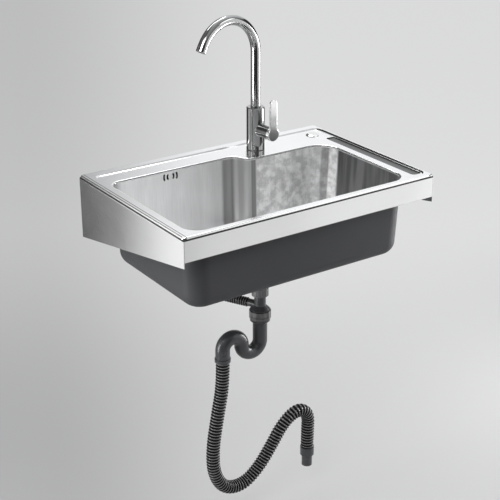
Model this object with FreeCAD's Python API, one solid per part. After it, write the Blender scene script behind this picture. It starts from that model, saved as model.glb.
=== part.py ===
import FreeCAD, Part
import math
import os

from FreeCAD import Vector

# Wall-mounted utility sink, millimetres.
# +X runs to the right along the wall, +Y into the wall, +Z up.
# The origin lies on the wall plane, at the middle of the rear rail's back face.

# General clearances
overrun = 5.0                 # cutting tools run this far past the faces they open
seat_gap = 0.15               # between pieces that are screwed or pushed together
swivel_gap = 0.3              # between pieces that turn or slide on each other

# Wall bracket
bracket_width = 650.0
bracket_depth = 440.0
bracket_sheet = 1.5
bend_radius = 2.0             # outside of a fold
corner_gap = 0.5              # ends of the apron and the rail from the side plates
rail_height = 56.0
rail_ledge = 25.0
side_height_wall = 140.5
side_height_front = 57.5
side_ledge = 22.0
wall_flange = 28.0
apron_height = 48.0
apron_ledge = 20.0
apron_return = 15.0
fixing_hole_r = 5.0
fixing_spacing_z = 80.0
rivet_r = 2.0
rivet_head_r = 4.2
rivet_head_h = 1.3
rivet_tail_r = 3.1
rivet_tail_h = 3.0
rivet_inset_x = 13.0          # rivet axis from the bracket's outer face
rivet_inset_y = 11.0          # rivet axis from the front face
rivet_wall_y = 14.0           # rivet axis from the wall

# Seal strip between rim and bracket
seal_height = 1.0
seal_width = 5.0

# Basin deck
basin_sheet = 1.0
rim_inset = 1.0               # rim edge inside the bracket's outer faces
rim_lip = 5.0
rim_corner_r = 8.0
rim_roll_r = 3.0
tray_depth = 3.0              # recessed deck below the rim, walls at 45 degrees
tray_left = 22.0              # rim widths round the recess, from the bracket's outer faces
tray_right = 6.0
tray_front = 14.0
tray_back = 22.0
tray_corner_r = 22.0
channel_depth = 2.5           # groove along the right side, below the recessed deck
channel_width = 27.0
channel_edge = 1.0            # from the recess's wall foot to the groove
channel_front = 10.0
channel_back = 95.0
channel_corner_r = 9.0

# Bowl
bowl_depth = 185.0            # rim top to bowl floor
bowl_left = 32.0              # bowl edge from the bracket's outer faces
bowl_right = 57.0
bowl_front = 23.0
bowl_back_left = 78.0         # back edge from the wall, left part
bowl_back_right = 118.0       # back edge from the wall, behind it stands the tap
step_start = 313.0            # the back edge swings forward between these two,
step_end = 257.0              # from the bracket's right outer face
bowl_draft = 5.0              # how far each wall leans in over the depth
bowl_edge_r = 3.0
bowl_foot_r = 30.0
corner_front_r = 38.0
corner_back_left_r = 26.0
corner_back_right_r = 55.0
corner_low_r = 42.0           # least corner radius at the floor
coat_thick = 0.8
coat_top_drop = 40.0          # top of the undercoat below the rim

# Overflow
overflow_from_left = 188.0     # slot centre from the bracket's left outer face
overflow_drop = 19.0          # slot centre below the rim
slot_width = 4.6
slot_radii = (8.2, 17.0)
slot_half_angles = (34.0, 20.0)
slot_dot_r = 1.3
slot_dot_x = 2.4
overflow_gasket_t = 1.5
overflow_box_width = 62.0
overflow_box_height = 27.0
overflow_box_depth = 26.0
overflow_box_drop = 3.6       # box centre below the slot centre
overflow_box_wall = 2.0
overflow_box_corner_r = 6.0
overflow_spigot_r = 9.0
overflow_spigot_wall = 2.0
overflow_spigot_len = 20.0
overflow_hose_r = 11.2
overflow_valley_r = 9.6
overflow_bore_r = 8.2
overflow_pitch = 6.0
overflow_lead = 46.0          # straight run of the hose below the housing
branch_lead = 28.0            # straight run of the hose before the tailpiece

# Deck hole cap
cap_from_right = 47.5         # from the bracket's right outer face
cap_from_wall = 57.5
cap_r = 15.5
cap_height = 3.4
cap_stem_r = 11.0
cap_stem_len = 22.0
cap_hole_r = 12.0
cap_nut_r = 15.0
cap_nut_h = 7.0
cap_nut_sides = 6

# Drain
drain_shift = -3.5            # drain axis from the bowl's middle, positive to the right
drain_from_wall = 258.0
drain_hole_r = 45.0
strainer_flange_r = 56.0
strainer_flange_t = 1.2
strainer_cup_r = 43.5
strainer_wall = 1.2
strainer_cup_depth = 46.0
strainer_neck_r = 15.5
strainer_neck_wall = 2.5
strainer_neck_len = 32.5
strainer_gasket_t = 3.0
lock_ring_r = 57.0
lock_ring_h = 12.0
lock_ring_grips = 12
lock_ring_grip_r = 4.0

# Lift-out basket
basket_rim_r = 41.0
basket_top_r = 37.5
basket_floor_r = 31.0
basket_depth = 28.0
basket_sheet = 0.8
basket_hole_r = 2.0
basket_ring_radii = (12.0, 19.0, 26.0)
basket_ring_counts = (8, 14, 20)
basket_seal_r = 21.0
basket_seal_h = 4.5
basket_lift = 0.3             # seal above the cup floor at rest
knob_stem_r = 3.0
knob_r = 9.0
knob_h = 7.0
knob_stem_len = 26.0
knob_foot_h = 2.0

# Coupling nut, tailpiece, slip nut
coupling_r = 19.4
coupling_height = 19.0
coupling_overlap = 9.0        # nut above the neck's lower end
coupling_grips = 12
coupling_grip_r = 1.6
tail_r = 13.3
tail_wall = 1.8
tail_flange_t = 3.0
tail_len = 80.5
skirt_r = 22.5                # cone of the tailpiece that sits on the slip nut
skirt_rise = 9.0
skirt_lip = 1.5
washer_t = 1.5
branch_drop = 34.3            # branch axis below the tail's flange
branch_r = 9.2
branch_wall = 2.0
branch_reach = 30.0
branch_back = 60.0            # branch direction: back and left
branch_side = 31.0
slip_drop = 44.3              # top of the slip nut below the tail's flange
slip_r = 25.0
slip_height = 20.7
slip_shoulder = 1.5
slip_lip = 5.0
slip_sides = 10
slip_washer_t = 4.6

# Trap
socket_r = 20.0
socket_collar_r = 23.2
socket_collar_h = 6.5
socket_taper_h = 6.0
trap_r = 16.8
trap_wall = 2.5
trap_bend_r = 25.75
trap_leg = 43.5               # straight pipe below the collar's taper
trap_outlet_len = 27.0
trap_collar_r = 18.6
trap_collar_h = 8.0

# Drain hose: points of its route from the trap's outlet, right and up, in the trap's plane
hose_route = (
    (0, 0), (0, -60), (-15, -135), (-31, -225), (-28, -295), (1, -345), (53, -355), (99, -324),
    (137, -275), (169, -227), (206, -202), (233, -206), (249, -230), (247, -265), (247, -315),
)
hose_r = 16.2
hose_valley_r = 13.8
hose_bore_r = 12.2
hose_pitch = 7.6
adapter_collar_r = 17.2
adapter_collar_h = 22.0
adapter_taper_h = 4.0
adapter_tube_r = 13.0
adapter_tube_len = 26.0
adapter_bore_r = 10.0

# Overflow hose: free points of its route, between the leads at its two ends
overflow_route = ((-137, -67, -158), (-126, -83, -222), (-95, -121, -258), (-64, -167, -266))

# Tap
tap_from_right = 219.0        # from the bracket's right outer face
tap_from_wall = 62.5
tap_gasket_t = 1.5
tap_body_r = 21.5
tap_body_h = 97.0
tap_hole_r = 12.0
shank_r = 11.0
shank_bore_r = 7.0
shank_engage = 12.0
shank_len = 58.0
inlet_r = 10.45
inlet_len = 26.0               # free threaded end for the supply hose
water_way_r = 5.0
backing_rubber_r = 20.0
backing_rubber_t = 3.0
backing_washer_t = 2.0
mount_nut_r = 17.0
mount_nut_h = 12.0
mount_nut_sides = 6

# Spout
spout_r = 11.65
spout_wall = 1.4
spout_heading = 190.0         # degrees from +X, seen from above
spout_column = 128.0          # straight tube above the collar
spout_bend_r = 86.0
spout_sweep = 152.0           # degrees
socket_depth = 36.0
spigot_bore_r = 8.0
o_ring_section_r = 0.9
o_ring_groove = 2.2
o_ring_rise = 8.0             # lower ring above the spigot's end
o_ring_step = 10.0
clip_r = 13.4
clip_t = 1.5
clip_rise = 27.0              # clip above the spigot's end
clip_slit = 4.0
collar_h = 4.0
collar_chamfer = 2.0
collar_spigot = 3.0
clip_well_r = 14.4
clip_well_depth = 9.0
aerator_len = 14.0
aerator_r = 11.9
aerator_bore_r = 9.6
aerator_insert_t = 5.0
aerator_inset = 1.5
aerator_hole_r = 0.9
aerator_ring_radii = (2.8, 5.6)
aerator_ring_counts = (6, 12)

# Side valve and lever; distances along the boss are from the tap's axis
boss_turn = 5.0               # degrees from straight forward, towards +X
boss_drop = 49.0              # boss axis below the body's top
boss_r = 15.0
boss_end = 56.0
chamber_r = 11.0
chamber_start = 12.0
cartridge_end = 44.0
cartridge_port_r = 4.0
stem_r = 4.0
stem_start = 37.0
bonnet_end = 54.0
lever_cap_r = 16.0
lever_cap_len = 9.6
lever_socket = 6.0
lever_edge_r = 1.5
lever_len = 82.0
lever_width = 21.0
lever_thick = 5.0
grub_r = 2.0
grub_len = 9.0

# Places worked out from the sizes above
half_width = bracket_width / 2
bracket_top = rail_height / 2
ledge_under = bracket_top - bracket_sheet
side_under = ledge_under - bracket_sheet
plate_inner = half_width - bracket_sheet
rim_under = bracket_top + seal_height
rim_top = rim_under + rim_lip
tray_floor = rim_top - tray_depth
tray_under = tray_floor - basin_sheet
bowl_floor = rim_top - bowl_depth
step_left_x = half_width - step_start
step_right_x = half_width - step_end
overflow_x = overflow_from_left - half_width
cap_xy = (half_width - cap_from_right, -cap_from_wall)
drain_x = (bowl_left - bowl_right) / 2 + drain_shift
drain_y = -drain_from_wall
drain_xy = (drain_x, drain_y)
tap_x = half_width - tap_from_right
tap_y = -tap_from_wall
tap_xy = (tap_x, tap_y)
origin = Vector(0, 0, 0)
up = Vector(0, 0, 1)


def block(x0, x1, y0, y1, z0, z1):
    return Part.makeBox(x1 - x0, y1 - y0, z1 - z0, Vector(x0, y0, z0))


def rod(xy, radius, z0, z1):
    return Part.makeCylinder(radius, z1 - z0, Vector(xy[0], xy[1], z0))


def ring(xy, inner, outer, z0, z1):
    return rod(xy, outer, z0, z1).cut(rod(xy, inner, z0, z1))


def prism(xy, radius, sides, z0, z1):
    corners = [
        Vector(xy[0] + radius * math.cos(a), xy[1] + radius * math.sin(a), z0)
        for a in (2 * math.pi * i / sides for i in range(sides + 1))
    ]
    return Part.Face(Part.makePolygon(corners)).extrude(Vector(0, 0, z1 - z0))


def turned(xy, profile):
    points = [Vector(xy[0] + r, xy[1], z) for r, z in profile]
    face = Part.Face(Part.makePolygon(points + points[:1]))
    return face.revolve(Vector(xy[0], xy[1], 0), up, 360)


def around(xy, radius, count):
    for i in range(count):
        a = 2 * math.pi * i / count
        yield xy[0] + radius * math.cos(a), xy[1] + radius * math.sin(a)


def fluted(shape, xy, radius, count, flute_r, z0, z1):
    flutes = [rod(place, flute_r, z0 - overrun, z1 + overrun) for place in around(xy, radius, count)]
    return shape.cut(flutes)


def edges_at(shape, z):
    found = []
    for edge in shape.Edges:
        box = edge.BoundBox
        if abs(box.ZMin - z) < seat_gap and abs(box.ZMax - z) < seat_gap:
            found.append(edge)
    return found


def arc(cx, cy, radius, start, end, z):
    points = [
        Vector(cx + radius * math.cos(a), cy + radius * math.sin(a), z)
        for a in (start, (start + end) / 2, end)
    ]
    return Part.Arc(*points).toShape()


def chain(arcs):
    # Joins a ring of arcs with straight edges from each one's end to the next one's start
    edges = []
    for this, following in zip(arcs, arcs[1:] + arcs[:1]):
        edges.append(this)
        a = this.lastVertex(True).Point
        b = following.firstVertex(True).Point
        if a.distanceToPoint(b) > seat_gap:
            edges.append(Part.LineSegment(a, b).toShape())
    return Part.Wire(edges)


def rounded(x0, x1, y0, y1, radius, z):
    quarter = math.pi / 2
    return chain([
        arc(x0 + radius, y0 + radius, radius, 2 * quarter, 3 * quarter, z),
        arc(x1 - radius, y0 + radius, radius, 3 * quarter, 4 * quarter, z),
        arc(x1 - radius, y1 - radius, radius, 0, quarter, z),
        arc(x0 + radius, y1 - radius, radius, quarter, 2 * quarter, z),
    ])


def loft(wires):
    return Part.makeLoft(wires, True, True)


def facing(centre, direction, across):
    # Placement that turns local Z to direction and keeps local X close to across
    z = Vector(direction).normalize()
    y = z.cross(across).normalize()
    x = y.cross(z)
    return FreeCAD.Placement(centre, FreeCAD.Rotation(x, y, z, "ZXY"))


def placed(shape, placement):
    moved = shape.copy()
    moved.Placement = placement.multiply(moved.Placement)
    return moved


# Wall bracket

def fold_edges(shape, x, y, z):
    # Long outside edges that lie along two of the given planes
    found = []
    for edge in shape.Edges:
        box = edge.BoundBox
        on_x = abs(box.XMin - x) < seat_gap and abs(box.XMax - x) < seat_gap
        on_y = y is not None and abs(box.YMin - y) < seat_gap and abs(box.YMax - y) < seat_gap
        on_z = abs(box.ZMin - z) < seat_gap and abs(box.ZMax - z) < seat_gap
        if edge.Length > wall_flange and ((on_x and on_z) or (on_x and on_y)):
            found.append(edge)
    return found


def side_bracket(side):
    # side is -1 for the left plate and 1 for the right one
    outer = side * half_width
    foot_wall = ledge_under - side_height_wall
    foot_front = ledge_under - side_height_front
    corners = [
        Vector(outer, 0, ledge_under),
        Vector(outer, 0, foot_wall),
        Vector(outer, -bracket_depth, foot_front),
        Vector(outer, -bracket_depth, ledge_under),
    ]
    plate = Part.Face(Part.makePolygon(corners + corners[:1]))
    plate = plate.extrude(Vector(-side * bracket_sheet, 0, 0))
    ledge_x = sorted((outer, outer - side * side_ledge))
    flange_x = sorted((outer, outer - side * wall_flange))
    ledge_front = bracket_sheet + seat_gap - bracket_depth
    ledge = block(*ledge_x, ledge_front, 0, side_under, ledge_under)
    flange = block(*flange_x, -bracket_sheet, 0, foot_wall, ledge_under)
    bracket = plate.fuse([ledge, flange]).removeSplitter()
    bracket = bracket.makeFillet(bend_radius, fold_edges(bracket, outer, 0, ledge_under))
    for z in (0, -fixing_spacing_z):
        hole_x = outer - side * wall_flange / 2
        hole = Part.makeCylinder(fixing_hole_r, bracket_sheet + 2 * overrun,
                                 Vector(hole_x, -bracket_sheet - overrun, z), Vector(0, 1, 0))
        bracket = bracket.cut(hole)
    return bracket.cut(rivet_holes())


def rivet_places():
    x = half_width - rivet_inset_x
    for side in (-1, 1):
        yield side * x, rivet_inset_y - bracket_depth
        yield side * x, -rivet_wall_y


def rivet_holes():
    reach = bracket_sheet + overrun
    return [rod(xy, rivet_r + seat_gap, ledge_under - reach, ledge_under + reach) for xy in rivet_places()]


def front_apron():
    end = plate_inner - corner_gap
    front = -bracket_depth
    foot = bracket_top - apron_height
    face = block(-end, end, front, front + bracket_sheet, foot, bracket_top)
    ledge = block(-end, end, front, front + apron_ledge, ledge_under, bracket_top)
    turn = block(-end, end, front, front + apron_return, foot, foot + bracket_sheet)
    apron = face.fuse([ledge, turn]).removeSplitter()
    folds = []
    for edge in apron.Edges:
        box = edge.BoundBox
        long_front = edge.Length > bracket_depth and abs(box.YMax - front) < seat_gap
        if long_front:
            folds.append(edge)
    return apron.makeFillet(bend_radius, folds).cut(rivet_holes())


def rear_rail():
    end = half_width - wall_flange - corner_gap
    reach = plate_inner - corner_gap
    leg = block(-end, end, -bracket_sheet, 0, -bracket_top, bracket_top)
    ledge = block(-reach, reach, -rail_ledge, 0, ledge_under, bracket_top)
    return leg.fuse(ledge).removeSplitter().cut(rivet_holes())


def corner_rivets():
    rivets = []
    for xy in rivet_places():
        rivets.append(turned(xy, [
            (0, side_under - rivet_tail_h),
            (rivet_tail_r, side_under - rivet_tail_h),
            (rivet_tail_r, side_under),
            (rivet_r, side_under),
            (rivet_r, bracket_top),
            (rivet_head_r, bracket_top),
            (rivet_r, bracket_top + rivet_head_h),
            (0, bracket_top + rivet_head_h),
        ]))
    return Part.makeCompound(rivets)


def rim_box():
    edge = half_width - rim_inset
    return -edge, edge, rim_inset - bracket_depth, -rim_inset


def rim_seal():
    x0, x1, y0, y1 = rim_box()
    outer = block(x0, x1, y0, y1, bracket_top, rim_under)
    inner = block(x0 + seal_width, x1 - seal_width, y0 + seal_width, y1 - seal_width, bracket_top, rim_under)
    strips = []
    for near, far in ((x0, x0 + seal_width), (x1 - seal_width, x1)):
        front = apron_ledge + seat_gap - bracket_depth
        strips.append(block(near, far, front, -rail_ledge - seat_gap, ledge_under, bracket_top))
    return outer.cut(inner).fuse(strips).removeSplitter()


# Basin

def bowl_wire(z, grow):
    share = (tray_floor - z) / (tray_floor - bowl_floor)
    lean = bowl_draft * share
    x0 = bowl_left - half_width + lean - grow
    x1 = half_width - bowl_right - lean + grow
    y0 = bowl_front - bracket_depth + lean - grow
    back_left = -bowl_back_left - lean
    back_right = -bowl_back_right - lean
    step_x = step_right_x - step_left_x
    step_y = back_left - back_right
    swing = (step_x ** 2 + step_y ** 2) / (4 * step_y)

    def corner(radius):
        return radius + share * max(0, corner_low_r - radius) + grow

    front_r = corner(corner_front_r)
    left_r = corner(corner_back_left_r)
    right_r = corner(corner_back_right_r)
    quarter = math.pi / 2
    nose_y = back_right + swing
    cove_y = back_left - swing
    turn = math.atan2(cove_y - nose_y, step_left_x - step_right_x) % (4 * quarter)
    return chain([
        arc(x0 + front_r, y0 + front_r, front_r, 2 * quarter, 3 * quarter, z),
        arc(x1 - front_r, y0 + front_r, front_r, 3 * quarter, 4 * quarter, z),
        arc(x1 - right_r, back_right + grow - right_r, right_r, 0, quarter, z),
        arc(step_right_x, nose_y, swing - grow, 3 * quarter, turn, z),
        arc(step_left_x, cove_y, swing + grow, turn - 2 * quarter, quarter, z),
        arc(x0 + left_r, back_left + grow - left_r, left_r, quarter, 2 * quarter, z),
    ])


def bowl_solid(grow, top):
    floor = bowl_floor - grow
    solid = loft([bowl_wire(top, grow), bowl_wire(floor, grow)])
    return solid.makeFillet(bowl_foot_r + grow, edges_at(solid, floor))


def tray_box(inset):
    return (tray_left - half_width + inset, half_width - tray_right - inset,
            tray_front - bracket_depth + inset, -tray_back - inset)


def tray_solid(top, floor, grow):
    # Recess with 45 degree walls; grow widens it by the sheet on the outside
    def wire(z):
        inset = rim_top - z - grow
        return rounded(*tray_box(inset), tray_corner_r - inset, z)
    return loft([wire(top), wire(floor)])


def channel_solid(top, floor, grow):
    right = half_width - tray_right - tray_depth - channel_edge
    front = tray_front - bracket_depth + tray_depth + channel_front

    def wire(z):
        inset = tray_floor - z - grow
        return rounded(right - channel_width + inset, right - inset, front + inset,
                       -channel_back - inset, channel_corner_r - inset, z)
    return loft([wire(top), wire(floor)])


def rolled(solid, z, radius, grow):
    # Rounds the edge where the bowl opens through the recessed deck
    inside = Part.Face(bowl_wire(z, grow + bowl_edge_r / 2))
    edges = [e for e in edges_at(solid, z) if inside.isInside(e.CenterOfMass, seat_gap, True)]
    return solid.makeFillet(radius, edges)


def sheet_offset(sheet):
    # Outside of a 45 degree wall, measured level, for a sheet of even thickness
    return sheet * (math.sqrt(2) - 1) + sheet


def overflow_placement():
    share = (tray_floor - rim_top + overflow_drop) / (tray_floor - bowl_floor)
    wall_y = -bowl_back_left - bowl_draft * share
    lean = math.atan2(bowl_draft, tray_floor - bowl_floor)
    centre = Vector(overflow_x, wall_y, rim_top - overflow_drop)
    outward = Vector(0, math.cos(lean), -math.sin(lean))
    return facing(centre, outward, Vector(-1, 0, 0))


def arc_slot(radius, half_angle, turn, depth):
    half = slot_width / 2
    start = turn - math.radians(half_angle)
    end = turn + math.radians(half_angle)
    half_turn = math.pi
    ends = [(radius * math.cos(a), radius * math.sin(a)) for a in (start, end)]
    wire = Part.Wire([
        arc(0, 0, radius + half, start, end, 0),
        arc(*ends[1], half, end, end + half_turn, 0),
        arc(0, 0, radius - half, end, start, 0),
        arc(*ends[0], half, start + half_turn, start + 2 * half_turn, 0),
    ])
    return Part.Face(wire).extrude(Vector(0, 0, depth))


def overflow_slots():
    depth = basin_sheet + 2 * overrun
    slots = []
    for radius, half_angle in zip(slot_radii, slot_half_angles):
        for turn in (0, math.pi):
            slots.append(arc_slot(radius, half_angle, turn, depth))
    for side in (-1, 1):
        slots.append(rod((side * slot_dot_x, 0), slot_dot_r, 0, depth))
    back = FreeCAD.Placement(Vector(0, 0, -overrun), FreeCAD.Rotation())
    return [placed(slot, overflow_placement().multiply(back)) for slot in slots]


def sink_basin():
    x0, x1, y0, y1 = rim_box()
    rim = Part.Face(rounded(x0, x1, y0, y1, rim_corner_r, rim_under)).extrude(Vector(0, 0, rim_lip))
    rim = rim.makeFillet(rim_roll_r, edges_at(rim, rim_top))
    t = basin_sheet
    hollow = Part.Face(rounded(x0 + t, x1 - t, y0 + t, y1 - t, rim_corner_r - t, rim_under - overrun))
    hollow = hollow.extrude(Vector(0, 0, rim_lip + overrun - t))
    hollow = hollow.makeFillet(rim_roll_r - t, edges_at(hollow, rim_top - t))
    rim = rim.cut(hollow)

    wide = sheet_offset(t)
    recess = tray_solid(rim_top + overrun, tray_floor, 0)
    skin = tray_solid(rim_top - t, tray_under, wide).fuse(bowl_solid(t, tray_floor)).removeSplitter()
    skin = rolled(skin, tray_under, bowl_edge_r - t, t)
    void = recess.fuse(bowl_solid(0, rim_top)).removeSplitter()
    void = rolled(void, tray_floor, bowl_edge_r, 0)
    groove_floor = tray_floor - channel_depth
    groove = channel_solid(tray_floor + channel_depth, groove_floor, 0)
    groove_skin = channel_solid(tray_floor - t, groove_floor - t, wide)
    basin = skin.cut(void).fuse([rim.cut(recess), groove_skin]).cut(groove)

    holes = overflow_slots()
    holes.append(rod(drain_xy, drain_hole_r, bowl_floor - t - overrun, bowl_floor + overrun))
    holes.append(rod(tap_xy, tap_hole_r, tray_under - overrun, rim_top))
    holes.append(rod(cap_xy, cap_hole_r, tray_under - overrun, rim_top))
    return basin.cut(holes).removeSplitter()


def bowl_undercoat():
    top = rim_top - coat_top_drop
    coat = bowl_solid(basin_sheet + coat_thick, top).cut(bowl_solid(basin_sheet, top))
    floor = bowl_floor - basin_sheet - coat_thick
    return coat.cut(rod(drain_xy, drain_hole_r, floor - overrun, bowl_floor))


# Deck hole cap

def soap_hole_cap():
    top = tray_floor + cap_height
    cap = turned(cap_xy, [
        (0, tray_floor - cap_stem_len),
        (cap_stem_r, tray_floor - cap_stem_len),
        (cap_stem_r, tray_floor),
        (cap_r, tray_floor),
        (cap_r, tray_floor + cap_height / 3),
        (cap_stem_r, top),
        (0, top),
    ])
    return cap


def soap_hole_nut():
    body = prism(cap_xy, cap_nut_r, cap_nut_sides, tray_under - cap_nut_h, tray_under)
    return body.cut(rod(cap_xy, cap_stem_r + seat_gap, tray_under - cap_nut_h, tray_under))


# Overflow

def overflow_outline(inset):
    half_w = overflow_box_width / 2 - inset
    half_h = overflow_box_height / 2 - inset
    return rounded(-half_w, half_w, -half_h, half_h, overflow_box_corner_r - inset, 0)


def overflow_seat():
    shift = FreeCAD.Placement(Vector(0, -overflow_box_drop, basin_sheet + seat_gap), FreeCAD.Rotation())
    return overflow_placement().multiply(shift)


def overflow_gasket():
    face = Part.Face(overflow_outline(0)).cut(Part.Face(overflow_outline(overflow_box_wall)))
    return placed(face.extrude(Vector(0, 0, overflow_gasket_t)), overflow_seat())


def spigot_root():
    # Local place of the outlet's axis on the housing: depth along the wall's normal
    return overflow_gasket_t + overflow_box_depth / 2


def overflow_down():
    return overflow_seat().Rotation.multVec(Vector(0, -1, 0))


def overflow_outlet():
    reach = overflow_box_height / 2 + overflow_spigot_len
    return overflow_seat().multVec(Vector(0, -reach, spigot_root()))


def overflow_housing():
    base = Vector(0, 0, overflow_gasket_t)
    shell = Part.Face(overflow_outline(0)).extrude(Vector(0, 0, overflow_box_depth))
    inner = Part.Face(overflow_outline(overflow_box_wall))
    inner = inner.extrude(Vector(0, 0, overflow_box_depth - overflow_box_wall))
    half = overflow_box_height / 2
    centre = Vector(0, -half - overflow_spigot_len, overflow_box_depth / 2)
    bore_r = overflow_spigot_r - overflow_spigot_wall
    reach = overflow_spigot_len + overflow_box_wall
    pipe = Part.makeCylinder(overflow_spigot_r, reach, centre, Vector(0, 1, 0))
    bore = Part.makeCylinder(bore_r, reach + overrun, centre - Vector(0, overrun, 0), Vector(0, 1, 0))
    long_bore = Part.makeCylinder(bore_r, reach, centre, Vector(0, 1, 0))
    housing = shell.cut(inner).fuse(pipe.cut(inner)).cut([bore, long_bore])
    housing.translate(base)
    return placed(housing, overflow_seat())


# Hoses

def hose_path(points):
    # Straight runs joined by tangent arcs, as pieces of (kind, length, data)
    pieces = []
    radii = []
    start = points[0]
    for before, corner, after in zip(points, points[1:], points[2:]):
        back = (before - corner).normalize()
        ahead = (after - corner).normalize()
        turn = math.pi - back.getAngle(ahead)
        cut = 0.45 * min(before.distanceToPoint(corner), after.distanceToPoint(corner))
        radius = cut / math.tan(turn / 2)
        first = corner + back * cut
        centre = corner + (back + ahead).normalize() * (radius / math.cos(turn / 2))
        pieces.append(("run", start.distanceToPoint(first), (start, -back)))
        pieces.append(("arc", radius * turn, (centre, first - centre, -back, radius)))
        radii.append(round(radius))
        start = corner + ahead * cut
    last = points[-1]
    pieces.append(("run", start.distanceToPoint(last), (start, (last - start).normalize())))
    return pieces, radii


def along(pieces, distance):
    # Point and direction at a distance along the path
    for kind, length, data in pieces:
        if distance <= length or data is pieces[-1][2]:
            break
        distance -= length
    if kind == "run":
        start, heading = data
        return start + heading * distance, heading
    centre, spoke, heading, radius = data
    angle = distance / radius
    out = Vector(spoke).normalize()
    point = centre + out * (radius * math.cos(angle)) + heading * (radius * math.sin(angle))
    return point, heading * math.cos(angle) - out * math.sin(angle)


def circle_at(pieces, distance, radius, across):
    point, heading = along(pieces, distance)
    circle = Part.Wire(Part.Circle(origin, up, radius).toShape())
    circle.Placement = facing(point, heading, across)
    return circle


def ribbed_hose(name, points, crest_r, valley_r, bore_r, pitch, across):
    pieces, radii = hose_path(points)
    total = sum(length for kind, length, data in pieces)
    count = round(total / pitch)
    step = total / count
    shares = ((0.0, valley_r), (0.22, crest_r), (0.58, crest_r), (0.8, valley_r))
    rings = []
    bores = []
    for i in range(count):
        rings += [circle_at(pieces, (i + share) * step, r, across) for share, r in shares]
        bores.append(circle_at(pieces, i * step, bore_r, across))
    rings.append(circle_at(pieces, total, valley_r, across))
    bores.append(circle_at(pieces, total, bore_r, across))
    hose = loft(rings).cut(loft(bores))
    plain = math.pi * ((crest_r + valley_r) ** 2 / 4 - bore_r ** 2) * total
    print(name, "length", round(total), "ribs", count, "radii", radii,
          "volume over plain tube", round(hose.Volume / plain, 2))
    return hose


def trap_outlet():
    x = drain_x - 4 * trap_bend_r
    return Vector(x, drain_y, trap_bend_z() - trap_outlet_len)


def drain_route():
    base = trap_outlet()
    return [base + Vector(x, 0, z) for x, z in hose_route]


def drain_hose():
    return ribbed_hose("drain_hose", drain_route(), hose_r, hose_valley_r, hose_bore_r,
                       hose_pitch, Vector(0, 1, 0))


def overflow_points():
    start = overflow_outlet()
    end = branch_end()
    free = [Vector(*point) for point in overflow_route]
    lead_out = start + overflow_down() * overflow_lead
    lead_in = end + branch_direction() * branch_lead
    return [start, lead_out] + free + [lead_in, end]


def overflow_hose():
    level_across = Vector(branch_back, branch_side, 0)
    return ribbed_hose("overflow_hose", overflow_points(), overflow_hose_r, overflow_valley_r,
                       overflow_bore_r, overflow_pitch, level_across)


def hose_end_adapter():
    end = drain_route()[-1]
    xy = (end.x, end.y)
    shoulder = end.z - adapter_collar_h
    waist = shoulder - adapter_taper_h
    foot = waist - adapter_tube_len
    return turned(xy, [
        (hose_bore_r, end.z),
        (adapter_collar_r, end.z),
        (adapter_collar_r, shoulder),
        (adapter_tube_r, waist),
        (adapter_tube_r, foot),
        (adapter_bore_r, foot),
        (adapter_bore_r, shoulder),
        (hose_bore_r, shoulder),
    ])


# Drain

def cup_floor():
    return bowl_floor - strainer_cup_depth


def neck_end():
    return cup_floor() - strainer_wall - strainer_neck_len


def strainer_cup():
    top = bowl_floor + strainer_flange_t
    inner = strainer_cup_r - strainer_wall
    neck_bore = strainer_neck_r - strainer_neck_wall
    floor = cup_floor()
    return turned(drain_xy, [
        (inner, top),
        (strainer_flange_r, top),
        (strainer_flange_r, bowl_floor),
        (strainer_cup_r, bowl_floor),
        (strainer_cup_r, floor - strainer_wall),
        (strainer_neck_r, floor - strainer_wall),
        (strainer_neck_r, neck_end()),
        (neck_bore, neck_end()),
        (neck_bore, floor),
        (inner, floor),
    ])


def coat_under():
    return bowl_floor - basin_sheet - coat_thick


def strainer_gasket():
    top = coat_under()
    return ring(drain_xy, strainer_cup_r + seat_gap, lock_ring_r, top - strainer_gasket_t, top)


def strainer_lock_ring():
    top = coat_under() - strainer_gasket_t
    foot = top - lock_ring_h
    body = ring(drain_xy, strainer_cup_r + seat_gap, lock_ring_r, foot, top)
    return fluted(body, drain_xy, lock_ring_r + lock_ring_grip_r / 2, lock_ring_grips,
                  lock_ring_grip_r, foot, top)


def basket_floor():
    return cup_floor() + basket_lift + basket_seal_h


def strainer_basket():
    floor = basket_floor()
    top = floor + basket_depth
    t = basket_sheet
    cup = turned(drain_xy, [
        (0, floor),
        (basket_floor_r, floor),
        (basket_top_r, top - t),
        (basket_rim_r, top - t),
        (basket_rim_r, top),
        (basket_top_r - t, top),
        (basket_floor_r - t, floor + t),
        (0, floor + t),
    ])
    holes = [rod(drain_xy, knob_stem_r + seat_gap, floor - overrun, floor + overrun)]
    for radius, count in zip(basket_ring_radii, basket_ring_counts):
        for place in around(drain_xy, radius, count):
            holes.append(rod(place, basket_hole_r, floor - overrun, floor + overrun))
    return cup.cut(holes)


def basket_knob():
    base = basket_floor() + basket_sheet
    top = base + knob_stem_len
    stem_end = basket_floor() - basket_seal_h / 2
    return turned(drain_xy, [
        (0, stem_end),
        (knob_stem_r, stem_end),
        (knob_stem_r, base),
        (knob_r, base),
        (knob_r, base + knob_foot_h),
        (knob_stem_r, base + knob_foot_h),
        (knob_stem_r, top - knob_h),
        (knob_r, top - knob_h / 2),
        (knob_r, top),
        (0, top),
    ])


def basket_seal():
    top = basket_floor()
    foot = top - basket_seal_h
    socket_foot = top - basket_seal_h / 2
    disc = rod(drain_xy, basket_seal_r, foot, top)
    return disc.cut(rod(drain_xy, knob_stem_r + seat_gap, socket_foot - seat_gap, top))


def tail_flange_top():
    return neck_end() - washer_t


def coupling_washer():
    return ring(drain_xy, strainer_neck_r - strainer_neck_wall, strainer_neck_r - seat_gap,
                tail_flange_top(), neck_end())


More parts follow.
